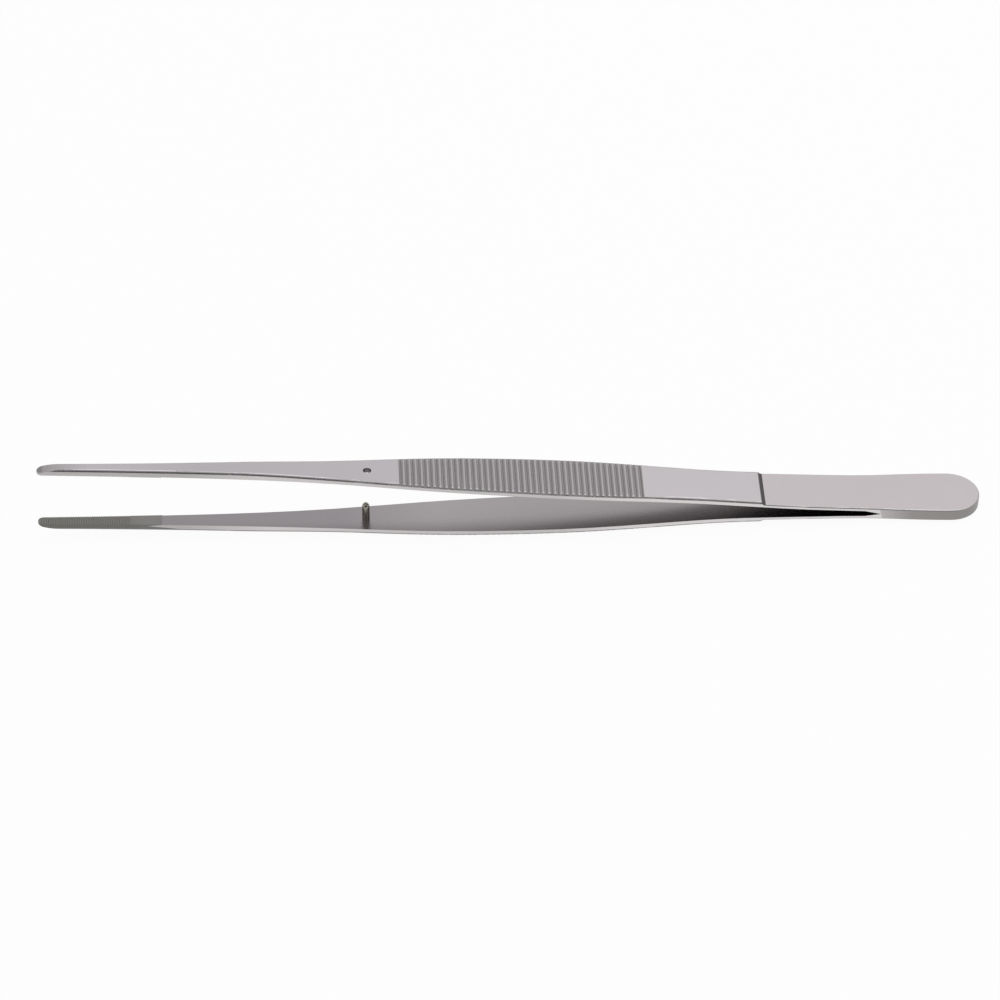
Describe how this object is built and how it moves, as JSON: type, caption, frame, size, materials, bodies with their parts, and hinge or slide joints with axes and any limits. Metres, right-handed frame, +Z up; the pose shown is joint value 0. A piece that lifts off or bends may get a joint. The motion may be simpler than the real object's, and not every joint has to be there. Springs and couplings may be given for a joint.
{
  "type": "thumb forceps",
  "caption": "Satin steel thumb forceps, held open by springy legs: slim serrated jaws, cross-ribbed grips, a guide pin with its hole, and a rounded welded heel.",
  "frame": {"origin": "on the ground under the middle of the forceps' bounding box, as they lie on the lower leg", "axes": "+X runs along the forceps from the tips to the heel, +Y across the legs, +Z up from the lower leg to the upper leg"},
  "size_m": [0.2002, 0.0132, 0.0181],
  "materials": {
    "leg_steel": "satin ground stainless steel",
    "pin_steel": "turned stainless steel"
  },
  "bodies": {
    "root": {"upper_leg": "leg_steel", "lower_leg": "leg_steel", "guide_pin": "pin_steel"}
  },
  "joints": []
}
